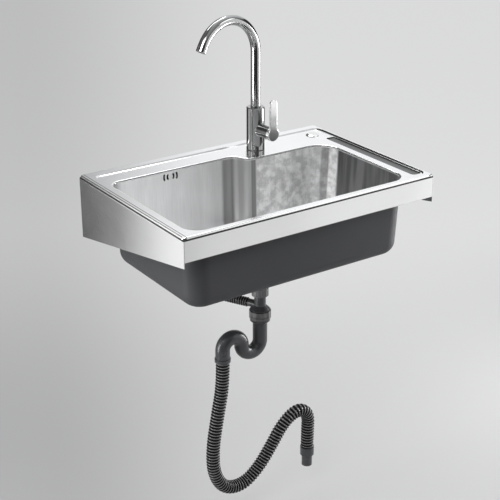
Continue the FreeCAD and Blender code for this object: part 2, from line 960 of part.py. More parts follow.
def coupling_nut():
    top = neck_end() + coupling_overlap
    foot = top - coupling_height
    lip = tail_flange_top() - tail_flange_t
    bore = strainer_neck_r + seat_gap
    body = turned(drain_xy, [
        (bore, top),
        (coupling_r, top),
        (coupling_r, foot),
        (tail_r + seat_gap, foot),
        (tail_r + seat_gap, lip),
        (bore, lip),
    ])
    return fluted(body, drain_xy, coupling_r + coupling_grip_r / 2, coupling_grips,
                  coupling_grip_r, foot, top)


def branch_direction():
    return Vector(-branch_side, branch_back, 0).normalize()


def branch_root():
    return Vector(drain_x, drain_y, tail_flange_top() - branch_drop)


def branch_end():
    return branch_root() + branch_direction() * branch_reach


def tailpiece():
    top = tail_flange_top()
    foot = top - tail_len
    bore = tail_r - tail_wall
    skirt_foot = slip_top() + seat_gap
    skirt_edge = skirt_foot + skirt_lip
    body = turned(drain_xy, [
        (0, top),
        (strainer_neck_r - seat_gap, top),
        (strainer_neck_r - seat_gap, top - tail_flange_t),
        (tail_r, top - tail_flange_t),
        (tail_r, skirt_edge + skirt_rise),
        (skirt_r, skirt_edge),
        (skirt_r, skirt_foot),
        (tail_r, skirt_foot),
        (tail_r, foot),
        (0, foot),
    ])
    branch = Part.makeCylinder(branch_r, branch_reach, branch_root(), branch_direction())
    bores = [
        rod(drain_xy, bore, foot - overrun, top + overrun),
        Part.makeCylinder(branch_r - branch_wall, branch_reach + overrun, branch_root(), branch_direction()),
    ]
    return body.fuse(branch).cut(bores).removeSplitter()


def slip_top():
    return tail_flange_top() - slip_drop


def slip_washer_top():
    return slip_top() - slip_lip


def trap_slip_nut():
    top = slip_top()
    foot = top - slip_height
    inner = slip_washer_top()
    body = turned(drain_xy, [
        (tail_r + seat_gap, top),
        (tail_r + tail_wall, top),
        (slip_r, top - slip_shoulder),
        (slip_r, foot),
        (socket_r + seat_gap, foot),
        (socket_r + seat_gap, inner),
        (tail_r + seat_gap, inner),
    ])
    facets = prism(drain_xy, slip_r / math.cos(math.pi / slip_sides) * slip_facet_share(),
                   slip_sides, foot, top)
    return body.common(facets)


def slip_facet_share():
    # Half way between a prism inside the round and one outside it
    return (1 + math.cos(math.pi / slip_sides)) / 2


def trap_washer():
    top = slip_washer_top()
    return ring(drain_xy, tail_r + seat_gap, socket_r - seat_gap, top - slip_washer_t, top)


def trap_collar_top():
    return slip_top() - slip_height - seat_gap


def trap_bend_z():
    return trap_collar_top() - socket_collar_h - socket_taper_h - trap_leg


def trap_line(radius):
    # Drain leg, U bend, crest and outlet leg, swept as one pipe
    z = trap_bend_z()
    top = trap_collar_top() - socket_collar_h
    b = trap_bend_r
    x = [drain_x - b * i for i in range(5)]
    points = [Vector(px, drain_y, z) for px in x]
    low = Vector(x[1], drain_y, z - b)
    high = Vector(x[3], drain_y, z + b)
    outlet = trap_outlet()
    spine = Part.Wire([
        Part.LineSegment(Vector(drain_x, drain_y, top), points[0]).toShape(),
        Part.Arc(points[0], low, points[2]).toShape(),
        Part.Arc(points[2], high, points[4]).toShape(),
        Part.LineSegment(points[4], outlet).toShape(),
    ])
    profile = Part.Wire(Part.Circle(Vector(drain_x, drain_y, top), up, radius).toShape())
    return spine.makePipeShell([profile], True, False)


def trap_bend():
    washer_foot = slip_washer_top() - slip_washer_t
    collar_top = trap_collar_top()
    collar_foot = collar_top - socket_collar_h
    taper_foot = collar_foot - socket_taper_h
    outlet = trap_outlet()
    socket = turned(drain_xy, [
        (0, washer_foot),
        (socket_r, washer_foot),
        (socket_r, collar_top),
        (socket_collar_r, collar_top),
        (socket_collar_r, collar_foot),
        (trap_r, taper_foot),
        (0, taper_foot),
    ])
    collar = rod((outlet.x, outlet.y), trap_collar_r, outlet.z, outlet.z + trap_collar_h)
    body = trap_line(trap_r).fuse([socket, collar])
    tail_room = rod(drain_xy, tail_r + 2 * seat_gap, collar_foot, washer_foot + overrun)
    return body.cut([trap_line(trap_r - trap_wall), tail_room]).removeSplitter()


# Tap

def tap_foot():
    return tray_floor + tap_gasket_t


def tap_top():
    return tap_foot() + tap_body_h


def boss_z():
    return tap_top() - boss_drop


def boss_placement():
    turn = math.radians(boss_turn)
    heading = Vector(math.sin(turn), -math.cos(turn), 0)
    return facing(Vector(tap_x, tap_y, boss_z()), heading, up)


def on_boss(shape):
    return placed(shape, boss_placement())


def tap_body():
    foot = tap_foot()
    top = tap_top()
    axis_z = boss_z()
    column = rod(tap_xy, tap_body_r, foot, top)
    boss = on_boss(rod((0, 0), boss_r, 0, boss_end))
    chamber = on_boss(rod((0, 0), chamber_r, chamber_start, boss_end + overrun))
    port = on_boss(rod((0, 0), water_way_r, 0, chamber_start + overrun))
    bores = [
        chamber,
        port,
        rod(tap_xy, shank_r + seat_gap, foot - overrun, foot + shank_engage),
        rod(tap_xy, water_way_r, foot, axis_z),
        rod(tap_xy, spigot_bore_r, axis_z + chamber_r, top),
        rod(tap_xy, water_way_r, axis_z, top),
        rod(tap_xy, spout_r + swivel_gap, spigot_foot() - swivel_gap, top + overrun),
        rod(tap_xy, clip_well_r, top - clip_well_depth, top + overrun),
    ]
    return column.fuse(boss).cut(bores).removeSplitter()


def tap_base_gasket():
    return ring(tap_xy, shank_r + seat_gap, tap_body_r, tray_floor, tap_foot())


def tap_shank():
    top = tap_foot() + shank_engage
    foot = top - shank_len
    shoulder = foot + inlet_len
    return turned(tap_xy, [
        (shank_bore_r, top),
        (shank_r, top),
        (shank_r, shoulder),
        (inlet_r, shoulder),
        (inlet_r, foot),
        (shank_bore_r, foot),
    ])


def tap_backing_rubber():
    return ring(tap_xy, shank_r + seat_gap, backing_rubber_r, tray_under - backing_rubber_t, tray_under)


def tap_backing_washer():
    top = tray_under - backing_rubber_t
    return ring(tap_xy, shank_r + seat_gap, backing_rubber_r, top - backing_washer_t, top)


def tap_mounting_nut():
    top = tray_under - backing_rubber_t - backing_washer_t
    body = prism(tap_xy, mount_nut_r, mount_nut_sides, top - mount_nut_h, top)
    return body.cut(rod(tap_xy, shank_r + seat_gap, top - mount_nut_h, top))


# Spout

def spigot_foot():
    return tap_top() - socket_depth


def collar_top():
    return tap_top() + collar_h


def spout_collar():
    top = collar_top()
    base = tap_top()
    bore = spout_r + swivel_gap
    return turned(tap_xy, [
        (bore, base - collar_spigot),
        (clip_well_r - seat_gap, base - collar_spigot),
        (clip_well_r - seat_gap, base),
        (tap_body_r, base),
        (tap_body_r, top - collar_chamfer),
        (tap_body_r - collar_chamfer, top),
        (bore, top),
    ])


def ring_heights():
    return [spigot_foot() + o_ring_rise + i * o_ring_step for i in range(2)]


def ring_centre_r():
    return spout_r + swivel_gap - o_ring_section_r - seat_gap


def spout_o_rings():
    rings = [
        Part.makeTorus(ring_centre_r(), o_ring_section_r, Vector(tap_x, tap_y, z))
        for z in ring_heights()
    ]
    return Part.makeCompound(rings)


def clip_foot():
    return spigot_foot() + clip_rise


def clip_seat_r():
    return ring_centre_r() - o_ring_section_r


def spout_clip():
    foot = clip_foot()
    body = ring(tap_xy, clip_seat_r(), clip_r, foot, foot + clip_t)
    half = clip_slit / 2
    slit = block(tap_x, tap_x + clip_r + overrun, tap_y - half, tap_y + half, foot, foot + clip_t)
    return body.cut(slit)


def spout_heading_vector():
    a = math.radians(spout_heading)
    return Vector(math.cos(a), math.sin(a), 0)


def spout_points():
    # Foot of the bend, and its end point and direction
    foot = Vector(tap_x, tap_y, collar_top() + spout_column)
    out = spout_heading_vector()
    centre = foot + out * spout_bend_r

    def on_bend(degrees):
        a = math.radians(degrees)
        return centre - out * (spout_bend_r * math.cos(a)) + up * (spout_bend_r * math.sin(a))

    a = math.radians(spout_sweep)
    heading = out * math.sin(a) + up * math.cos(a)
    return foot, on_bend(spout_sweep / 2), on_bend(spout_sweep), heading


def spout_pipe(radius, base):
    foot, middle, end, heading = spout_points()
    start = Vector(tap_x, tap_y, base)
    spine = Part.Wire([
        Part.LineSegment(start, foot).toShape(),
        Part.Arc(foot, middle, end).toShape(),
    ])
    profile = Part.Wire(Part.Circle(start, up, radius).toShape())
    return spine.makePipeShell([profile], True, False)


def spout_tube():
    base = spigot_foot()
    body = spout_pipe(spout_r, base).cut(spout_pipe(spout_r - spout_wall, collar_top()))
    grooves = []
    for z in ring_heights():
        half = o_ring_groove / 2
        grooves.append(ring(tap_xy, clip_seat_r() - seat_gap, spout_r + overrun, z - half, z + half))
    foot = clip_foot()
    grooves.append(ring(tap_xy, clip_seat_r(), spout_r + overrun, foot - seat_gap, foot + clip_t + seat_gap))
    bore = rod(tap_xy, spigot_bore_r, base - overrun, collar_top() + overrun)
    return body.cut(grooves + [bore])


def at_tip(shape):
    foot, middle, end, heading = spout_points()
    return placed(shape, facing(end, heading, Vector(0, 1, 0)))


def spout_aerator():
    bore = aerator_bore_r
    half = aerator_len / 2
    shell = turned((0, 0), [
        (bore, 0),
        (aerator_r, 0),
        (aerator_r, aerator_len - aerator_inset),
        (aerator_r - aerator_inset, aerator_len),
        (bore, aerator_len),
        (bore, half),
    ])
    return at_tip(shell)


def aerator_insert():
    top = aerator_len - aerator_inset
    axis = (0, 0)
    disc = rod(axis, aerator_bore_r - seat_gap, top - aerator_insert_t, top)
    holes = [rod(axis, aerator_hole_r, 0, aerator_len)]
    for radius, count in zip(aerator_ring_radii, aerator_ring_counts):
        holes += [rod(place, aerator_hole_r, 0, aerator_len) for place in around(axis, radius, count)]
    return at_tip(disc.cut(holes))


# Valve and lever, drawn along the boss

def valve_cartridge():
    axis = (0, 0)
    body = rod(axis, chamber_r - seat_gap, chamber_start + seat_gap, cartridge_end)
    cuts = [
        rod(axis, stem_r + swivel_gap, stem_start - swivel_gap, cartridge_end + overrun),
        rod(axis, cartridge_port_r, chamber_start, stem_start - cartridge_port_r),
    ]
    port_z = (chamber_start + stem_start) / 2
    cross = Part.makeCylinder(cartridge_port_r, 2 * chamber_r, Vector(-chamber_r, 0, port_z), Vector(1, 0, 0))
    return on_boss(body.cut(cuts + [cross]))


def valve_bonnet():
    axis = (0, 0)
    body = ring(axis, stem_r + swivel_gap, chamber_r - seat_gap, cartridge_end, bonnet_end)
    return on_boss(body)


def lever_start():
    return boss_end + swivel_gap


def valve_stem():
    return on_boss(rod((0, 0), stem_r, stem_start, lever_start() + lever_socket))


def lever_handle():
    start = lever_start()
    end = start + lever_cap_len
    half = lever_width / 2
    cap = rod((0, 0), lever_cap_r, start, end)
    blade = block(0, lever_len - half, -half, half, end - lever_thick, end)
    tip = rod((lever_len - half, 0), half, end - lever_thick, end)
    lever = cap.fuse([blade, tip]).removeSplitter()
    lever = lever.makeFillet(lever_edge_r, edges_at(lever, end))
    socket = rod((0, 0), stem_r + seat_gap, start - overrun, start + lever_socket + seat_gap)
    return on_boss(lever.cut([socket, grub_tool(seat_gap)]))


def grub_tool(grow):
    middle = lever_start() + lever_socket / 2
    inner = stem_r + seat_gap - grow
    return Part.makeCylinder(grub_r + grow, grub_len + grow, Vector(-inner, 0, middle), Vector(-1, 0, 0))


def lever_set_screw():
    return on_boss(grub_tool(0))


pieces = {
    "left_side_bracket": side_bracket(-1),
    "right_side_bracket": side_bracket(1),
    "front_apron": front_apron(),
    "rear_rail": rear_rail(),
    "corner_rivets": corner_rivets(),
    "rim_seal": rim_seal(),
    "sink_basin": sink_basin(),
    "bowl_undercoat": bowl_undercoat(),
    "soap_hole_cap": soap_hole_cap(),
    "soap_hole_nut": soap_hole_nut(),
    "overflow_gasket": overflow_gasket(),
    "overflow_housing": overflow_housing(),
    "overflow_hose": overflow_hose(),
    "strainer_cup": strainer_cup(),
    "strainer_gasket": strainer_gasket(),
    "strainer_lock_ring": strainer_lock_ring(),
    "strainer_basket": strainer_basket(),
    "basket_knob": basket_knob(),
    "basket_seal": basket_seal(),
    "coupling_washer": coupling_washer(),
    "coupling_nut": coupling_nut(),
    "tailpiece": tailpiece(),
    "trap_slip_nut": trap_slip_nut(),
    "trap_washer": trap_washer(),
    "trap_bend": trap_bend(),
    "drain_hose": drain_hose(),
    "hose_end_adapter": hose_end_adapter(),
    "tap_base_gasket": tap_base_gasket(),
    "tap_body": tap_body(),
    "tap_shank": tap_shank(),
    "tap_backing_rubber": tap_backing_rubber(),
    "tap_backing_washer": tap_backing_washer(),
    "tap_mounting_nut": tap_mounting_nut(),
    "spout_collar": spout_collar(),
    "spout_tube": spout_tube(),
    "spout_o_rings": spout_o_rings(),
    "spout_clip": spout_clip(),
    "spout_aerator": spout_aerator(),
    "aerator_insert": aerator_insert(),
    "valve_cartridge": valve_cartridge(),
    "valve_bonnet": valve_bonnet(),
    "valve_stem": valve_stem(),
    "lever_handle": lever_handle(),
    "lever_set_screw": lever_set_screw(),
}

os.makedirs("parts", exist_ok=True)
for name, shape in pieces.items():
    shape.exportStep("parts/" + name + ".step")
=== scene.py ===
import bpy
import math
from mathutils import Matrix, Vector


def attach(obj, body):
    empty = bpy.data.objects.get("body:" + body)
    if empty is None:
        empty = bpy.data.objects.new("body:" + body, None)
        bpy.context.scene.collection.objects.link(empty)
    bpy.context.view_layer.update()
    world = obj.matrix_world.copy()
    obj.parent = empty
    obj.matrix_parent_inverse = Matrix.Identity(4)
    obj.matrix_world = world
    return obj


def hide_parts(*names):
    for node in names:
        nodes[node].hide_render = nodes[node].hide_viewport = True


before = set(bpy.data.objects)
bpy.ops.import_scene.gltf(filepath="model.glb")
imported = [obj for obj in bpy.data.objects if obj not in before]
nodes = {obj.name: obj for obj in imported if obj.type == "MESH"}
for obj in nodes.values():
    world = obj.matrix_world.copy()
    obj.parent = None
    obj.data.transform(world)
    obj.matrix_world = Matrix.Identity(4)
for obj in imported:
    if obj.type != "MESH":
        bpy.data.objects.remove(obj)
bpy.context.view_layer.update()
bpy.ops.object.select_all(action="DESELECT")
print("frame loaded,", len(nodes), "CAD nodes")


# camera

shot = {
    "place": (-1.428, -2.276, 0.937),
    "aim": (-0.0188, -0.2215, -0.1428),
    "lens": 86.5,
    "sensor": 36,
}
bpy.ops.object.camera_add(location=shot["place"])
camera = bpy.context.object
camera.data.sensor_width = shot["sensor"]
camera.data.lens = shot["lens"]
towards = Vector(shot["aim"]) - Vector(shot["place"])
camera.rotation_euler = towards.to_track_quat("-Z", "Y").to_euler()
bpy.context.scene.camera = camera
bpy.context.scene.view_settings.view_transform = "Standard"
print("camera set")


# shader helpers

class Wire:
    # a node's output that can be used in sums
    def __init__(self, finish, socket):
        self.finish = finish
        self.socket = socket

    def sum(self, operation, a, b):
        return self.finish.node("ShaderNodeMath", {"operation": operation}, {0: a, 1: b})

    def __add__(self, other):
        return self.sum("ADD", self, other)

    def __radd__(self, other):
        return self.sum("ADD", other, self)

    def __sub__(self, other):
        return self.sum("SUBTRACT", self, other)

    def __rsub__(self, other):
        return self.sum("SUBTRACT", other, self)

    def __mul__(self, other):
        return self.sum("MULTIPLY", self, other)

    def __rmul__(self, other):
        return self.sum("MULTIPLY", other, self)

    def __truediv__(self, other):
        return self.sum("DIVIDE", self, other)


class Finish:
    # a material, or the world, and the nodes in it
    def __init__(self, owner):
        self.owner = owner
        owner.use_nodes = True
        self.tree = owner.node_tree
        self.tree.nodes.clear()

    def node(self, kind, settings=None, inputs=None, out=0):
        made = self.tree.nodes.new(kind)
        for key, value in (settings or {}).items():
            setattr(made, key, value)
        for key, value in (inputs or {}).items():
            if isinstance(value, Wire):
                self.tree.links.new(value.socket, made.inputs[key])
            else:
                made.inputs[key].default_value = value
        return Wire(self, made.outputs[out]) if made.outputs else None

    def place(self, scale=(1, 1, 1)):
        spot = self.node("ShaderNodeTexCoord", out="Object")
        return self.node("ShaderNodeMapping", {}, {"Vector": spot, "Scale": scale})

    def noise(self, scale, detail=4, rough=0.55, stretch=(1, 1, 1)):
        return self.node("ShaderNodeTexNoise", {}, {
            "Vector": self.place(stretch), "Scale": scale, "Detail": detail, "Roughness": rough})

    def blend(self, share, a, b):
        # a Mix node's sockets 6 and 7 are its colours
        return self.node("ShaderNodeMix", {"data_type": "RGBA"}, {0: share, 6: (*a, 1), 7: (*b, 1)}, out=2)

    def bump(self, height, strength, depth):
        return self.node("ShaderNodeBump", {}, {"Height": height, "Strength": strength, "Distance": depth})

    def part(self, axis):
        # one axis of the place on the piece: 0 for x, 1 for y, 2 for z
        spot = self.node("ShaderNodeTexCoord", out="Object")
        return self.node("ShaderNodeSeparateXYZ", {}, {0: spot}, out=axis)

    def ease(self, value, low, high, start=0.0, end=1.0):
        return self.node("ShaderNodeMapRange", {"interpolation_type": "SMOOTHSTEP"}, {
            "Value": value, "From Min": low, "From Max": high, "To Min": start, "To Max": end})

    def band(self, axis, low, high, soft):
        # 1 between low and high, falling to 0 over soft
        rise = self.ease(self.part(axis), low - soft, low)
        fall = self.ease(self.part(axis), high, high + soft)
        return rise * (1 - fall)

    def darkened(self, area, where=1):
        # 1, less a share over a band, given as its axis, span, softness and share
        axis, low, high, soft, share = area
        return 1 - share * where * self.band(axis, low, high, soft)

    def mixed(self, shares, *tones):
        parts = [share * tone for share, tone in zip(shares, tones)]
        return sum(parts[1:], parts[0])

    def steelTint(self, grey, pale=(0.995, 0.997, 1.0)):
        # a grey level as the faintly blue colour of bare steel
        return self.blend(grey, (0, 0, 0), pale)

    def surface(self, **inputs):
        named = {key.replace("_", " "): value for key, value in inputs.items()}
        skin = self.node("ShaderNodeBsdfPrincipled", {}, named)
        self.node("ShaderNodeOutputMaterial", {}, {"Surface": skin})
        return self.owner


def newFinish(name):
    return Finish(bpy.data.materials.new(name))


# finishes

brushing = {
    "streak": (1, 5, 0.65),            # scale, detail and roughness of each noise
    "hair": (3.1, 3, 0.7),
    "cloud": (7, 3, 0.5),
    "toneShares": (0.55, 0.25, 0.2),   # streak, hair and cloud in the grey
    "reliefShares": (0.6, 0.4),        # streak and hair in the relief
    "reliefDepth": 0.0002,
    "cloudRough": 0.08,
}


def brushedSteel(name, dark, pale, stretch, rough, grain, relief=0.05, shadeBand=None):
    # stretch is large across the brushing and small along it; the last argument is a band of painted shadow
    # and dark reflection, darkening the grey
    finish = newFinish(name)
    streak = finish.noise(*brushing["streak"], stretch)
    hair = finish.noise(*brushing["hair"], stretch)
    cloud = finish.noise(*brushing["cloud"])
    grey = dark + (pale - dark) * finish.mixed(brushing["toneShares"], streak, hair, cloud)
    # painted shade: darkens the grey over the band
    if shadeBand:
        grey = grey * finish.darkened(shadeBand)
    height = finish.mixed(brushing["reliefShares"], streak, hair)
    return finish.surface(
        Base_Color=finish.steelTint(grey),
        Metallic=1.0,
        Roughness=rough + grain * (streak - 0.5) + brushing["cloudRough"] * (cloud - 0.5),
        Normal=finish.bump(height, relief, brushing["reliefDepth"]),
    )


basinLook = {
    "deckNoise": (1, 4, 0.6, (9, 700, 700)),       # scale, detail, roughness and stretch
    "wallNoise": (1, 4, 0.6, (520, 520, 7)),
    "bandNoise": (1, 3, 0.5, (26, 26, 2)),
    "mottleNoise": (48, 5, 0.62),
    "cloudNoise": (8, 3, 0.5),
    "wallSpan": (0.30, 0.70),      # the part of each noise that is spread from 0 to 1
    "bandSpan": (0.25, 0.75),
    "mottleSpan": (0.36, 0.66),
    "farSpan": (0.3, 0.7),
    "deckShares": (0.6, 0.4),              # streak and cloud in the deck's grey
    "wallShares": (0.35, 0.45, 0.2),       # streak, band and cloud in the bowl's
    "deck": (0.80, 0.98),          # darkest and palest grey of each area
    "bowl": (0.77, 1.0),
    # painted dark reflection on the right-hand wall beyond the rounded corner
    "farWallDarkReflection": (0.15, 0.27),
    # painted dark reflection in the groove
    "groove": (0.12, 0.21),
    "mottle": (0.72, 1.14),        # what the right part of the back wall is multiplied by
    "dullness": (0.30, 0.62),      # how little metal the bowl shows, and its back wall right of the step
    "deckRough": 0.20,
    "bowlRough": 0.36,
    "grooveRough": 0.1,            # added in the groove
    "streakRough": 0.10,
    "cloudRough": 0.05,
    "relief": 0.06,
    "reliefDepth": 0.0002,
    "bowlTop": (0.0245, 0.0285),   # heights over which the deck's grain turns into the bowl's
    "backY": (-0.205, -0.160),     # y over which the floor's even grey turns into the back wall's
    "leftCornerShade": (-0.288, -0.258, 0.35, 1.0),     # painted shade in the back-left corner: x, and what the grey is multiplied by at each end
    "leftFall": (-0.22, 0.0, 1.0, 0.78),           # painted shade: the left part of the back wall darkens towards the step
    # painted shade: the right part of the back wall darkens towards the rounded corner
    "rightFall": (0.13, 0.22, 1.0, 0.80),
    "bend": (0, 0.006, 0.024, 0.010, 0.56),        # bands of painted dark reflection: the step's bends and slanting face
    "face": (0, 0.027, 0.056, 0.006, 0.36),
    "bendTwo": (0, 0.059, 0.066, 0.004, 0.6),
    "stepped": (0.066, 0.074),     # x over which the left part of the back wall turns into the right
    "cornerX": (0.240, 0.248),     # the rounded corner and the right-hand wall beyond it
    "cornerShade": (1, -0.145, -0.134, 0.004, 0.5),
    "cornerShine": (1, -0.168, -0.148, 0.004, -0.2),
    "farY": (-0.176, -0.168),
    "grooveFrom": (0.284, 0.285),  # x beyond which anything below the recessed deck is the groove
    "grooveTop": (0.0300, 0.0308),
    "ledgeFrom": (0.312, 0.313),   # x beyond which the recess's sloping wall stands
    # painted shade along the recess's sloping wall
    "ledge": (2, 0.0313, 0.0334, 0.0003, 0.96),
    "edge": (2, 0.0287, 0.0300, 0.0003, 0.85),     # shadow line round the bowl, the groove and the lip
    "crease": (0, -0.3168, -0.3154, 0.0004, 0.8),  # shadow line at the left end of the recess
    "creaseFrom": (0.0325, 0.033),
}


def basinSteel(name, look):
    # deck brushed along its length, bowl brushed up and down, the groove rougher and painted with a dark
    # reflection
    finish = newFinish(name)
    x, y, z = (finish.part(axis) for axis in range(3))
    deckStreak = finish.noise(*look["deckNoise"])
    wallStreak = finish.ease(finish.noise(*look["wallNoise"]), *look["wallSpan"])
    wallBand = finish.ease(finish.noise(*look["bandNoise"]), *look["bandSpan"])
    mottle = finish.ease(finish.noise(*look["mottleNoise"]), *look["mottleSpan"])
    cloud = finish.noise(*look["cloudNoise"])

    def between(area, tone):
        low, high = look[area]
        return low + (high - low) * tone

    beyond = finish.ease(x, *look["grooveFrom"])
    bowl = (1 - finish.ease(z, *look["bowlTop"])) * (1 - beyond)
    groove = beyond * (1 - finish.ease(z, *look["grooveTop"]))
    back = finish.ease(y, *look["backY"])
    stepped = finish.ease(x, *look["stepped"])
    corner = finish.ease(x, *look["cornerX"])
    far = corner * (1 - finish.ease(y, *look["farY"]))

    # painted shade and painted reflections across the back wall, left and right of the step
    left = finish.ease(x, *look["leftFall"]) * finish.ease(x, *look["leftCornerShade"])
    for band in ("bend", "face", "bendTwo"):
        left = left * finish.darkened(look[band])
    right = finish.ease(x, *look["rightFall"]) * between("mottle", mottle)
    for band in ("cornerShade", "cornerShine"):
        right = right * finish.darkened(look[band], corner)
    wall = between("bowl", finish.mixed(look["wallShares"], wallStreak, wallBand, cloud))
    wall = wall * (1 + back * (left + stepped * (right - left) - 1))
    # painted dark reflection on the right-hand wall
    wall = wall + far * (between("farWallDarkReflection", finish.ease(wallBand, *look["farSpan"])) - wall)

    deckTone = finish.mixed(look["deckShares"], deckStreak, cloud)
    top = between("deck", deckTone)
    # painted dark reflection in the groove
    top = top + groove * (between("groove", deckTone) - top)
    # painted shade on the recess's sloping wall
    top = top * finish.darkened(look["ledge"], finish.ease(x, *look["ledgeFrom"]))
    top = top * finish.darkened(look["crease"], finish.ease(z, *look["creaseFrom"]))
    steel = (top + bowl * (wall - top)) * finish.darkened(look["edge"])

    rough = look["deckRough"] + (look["bowlRough"] - look["deckRough"]) * bowl
    rough = rough + look["grooveRough"] * groove
    streak = deckStreak + bowl * (wallStreak - deckStreak)
    return finish.surface(
        Base_Color=finish.steelTint(steel),
        Metallic=1 - bowl * (1 - far) * between("dullness", stepped * back),
        Roughness=rough + look["streakRough"] * (streak - 0.5) + look["cloudRough"] * (cloud - 0.5),
        Normal=finish.bump(streak, look["relief"], look["reliefDepth"]),
    )


moulding = {
    "grain": (900, 3, 0.6),        # scale, detail and roughness of each noise
    "cloud": (16, 4, 0.6),
    "dust": (60, 6, 0.7),
    "toneShares": (0.6, 0.4),      # cloud and dust in the colour
    "cloudRough": 0.14,
    "dustRough": 0.12,
    "pebbleDepth": 0.0005,
}


def mouldedPlastic(name, dark, pale, rough, pebble):
    finish = newFinish(name)
    grain = finish.noise(*moulding["grain"])
    cloud = finish.noise(*moulding["cloud"])
    dust = finish.noise(*moulding["dust"])
    return finish.surface(
        Base_Color=finish.blend(finish.mixed(moulding["toneShares"], cloud, dust), dark, pale),
        Roughness=rough + moulding["cloudRough"] * (cloud - 0.5) + moulding["dustRough"] * (dust - 0.5),
        Normal=finish.bump(grain, pebble, moulding["pebbleDepth"]),
    )


hoseLook = {
    "valley": 0.002,               # painted shade: near-black grey between the ribs, then darkest and palest on them
    "dark": 0.070,
    "pale": 0.140,
    "crestSpan": (0.50, 1.0),      # rib heights over which the valley's grey turns into the crest's
    "glossSpan": (0.45, 0.95),     # and over which the gloss comes in
    "glossRough": 0.15,
    "rough": 0.55,
    "shine": 0.12,
    "pebble": 0.05,
}


def ribbedPlastic(name, look):
    # the tube's own attribute runs from 0 in a valley to 1 on a crest
    finish = newFinish(name)
    rib = finish.node("ShaderNodeAttribute", {"attribute_name": "ribHeight"}, out="Fac")
    grain = finish.noise(*moulding["grain"])
    cloud = finish.noise(*moulding["cloud"])
    dust = finish.noise(*moulding["dust"])
    crest = look["dark"] + (look["pale"] - look["dark"]) * finish.mixed(moulding["toneShares"], cloud, dust)
    # painted shade in the valleys between the ribs
    grey = look["valley"] + finish.ease(rib, *look["crestSpan"]) * (crest - look["valley"])
    return finish.surface(
        Base_Color=finish.steelTint(grey),
        Roughness=look["rough"] + moulding["dustRough"] * (dust - 0.5),
        Specular_IOR_Level=look["shine"],
        Coat_Weight=finish.ease(rib, *look["glossSpan"]),
        Coat_Roughness=look["glossRough"],
        Normal=finish.bump(grain, look["pebble"], moulding["pebbleDepth"]),
    )


slipNut = {
    "node": "trap_slip_nut",
    "flats": 10,
    "flatShares": (0.38, 0.93),    # of the nut's height, from its foot
    "flatSoft": 0.0006,
    "grooveShares": (0.28, 0.35),
    "grooveSoft": 0.0004,
    "grooveShade": 0.85,
    "cloud": (40, 5, 0.6),
    "dark": 0.060,
    "pale": 0.110,
    "rough": 0.32,
    "cloudRough": 0.12,
}


def nutPlastic(name, nut):
    # flats round the upper part of the nut, and painted shade for a groove below them
    finish = newFinish(name)
    corners = [Vector(corner) for corner in nodes[nut["node"]].bound_box]
    centre = sum(corners, Vector()) / len(corners)
    foot = min(corner.z for corner in corners)
    height = max(corner.z for corner in corners) - foot
    radius = max(corner.x for corner in corners) - centre.x
    turn = finish.node("ShaderNodeMath", {"operation": "ARCTAN2"}, {
        0: finish.part(1) - centre.y, 1: finish.part(0) - centre.x})
    share = finish.node("ShaderNodeMath", {"operation": "FRACT"}, {0: nut["flats"] / (2 * math.pi) * turn})
    across = 2 * share - 1
    flatFoot, flatTop = (foot + height * part for part in nut["flatShares"])
    grooveFoot, grooveTop = (foot + height * part for part in nut["grooveShares"])
    flat = finish.band(2, flatFoot, flatTop, nut["flatSoft"])
    # painted shade along the groove
    groove = (2, grooveFoot, grooveTop, nut["grooveSoft"], nut["grooveShade"])
    cloud = finish.noise(*nut["cloud"])
    grey = (nut["dark"] + (nut["pale"] - nut["dark"]) * cloud) * finish.darkened(groove)
    sagitta = radius / 2 * (math.pi / nut["flats"]) ** 2
    return finish.surface(
        Base_Color=finish.steelTint(grey),
        Roughness=nut["rough"] + nut["cloudRough"] * (cloud - 0.5),
        Normal=finish.bump(flat * across * across, 1.0, sagitta),
    )


spraying = {
    "peel": (260, 2, 0.5),         # scale, detail and roughness of each noise
    "speck": (1500, 2, 0.5),
    "cloud": (5, 4, 0.6),
    "toneShares": (0.55, 0.45),    # cloud and specks in the colour
    "reliefShares": (0.7, 0.3),    # peel and specks in the relief
    "relief": 0.35,
    "reliefDepth": 0.0008,
    "rough": 0.62,
    "cloudRough": 0.12,
    "shine": 0.22,
}


def sprayedCoat(name, dark, pale):
    # soft orange-peel skin with fine pale specks
    finish = newFinish(name)
    peel = finish.noise(*spraying["peel"])
    speck = finish.noise(*spraying["speck"])
    cloud = finish.noise(*spraying["cloud"])
    height = finish.mixed(spraying["reliefShares"], peel, speck)
    return finish.surface(
        Base_Color=finish.blend(finish.mixed(spraying["toneShares"], cloud, speck), dark, pale),
        Roughness=spraying["rough"] + spraying["cloudRough"] * (cloud - 0.5),
        Specular_IOR_Level=spraying["shine"],
        Normal=finish.bump(height, spraying["relief"], spraying["reliefDepth"]),
    )


rubber = {
    "bloom": (45, 5, 0.65),        # scale, detail and roughness of each noise
    "grain": (1100, 2, 0.5),
    "rough": 0.68,
    "bloomRough": 0.15,
    "relief": 0.2,
    "reliefDepth": 0.0004,
}


def softRubber(name, dark, pale):
    finish = newFinish(name)
    bloom = finish.noise(*rubber["bloom"])
    grain = finish.noise(*rubber["grain"])
    return finish.surface(
        Base_Color=finish.blend(bloom, dark, pale),
        Roughness=rubber["rough"] + rubber["bloomRough"] * (bloom - 0.5),
        Normal=finish.bump(grain, rubber["relief"], rubber["reliefDepth"]),
    )


polishing = {
    "smear": (30, 5, 0.6),                         # scale, detail and roughness
    "scratch": (1, 3, 0.7, (900, 60, 900)),        # and the stretch
    "smearRough": 0.08,
    "smearMiddle": 0.4,
    "scratchRough": 0.04,
    "relief": 0.04,
    "reliefDepth": 0.0002,
}


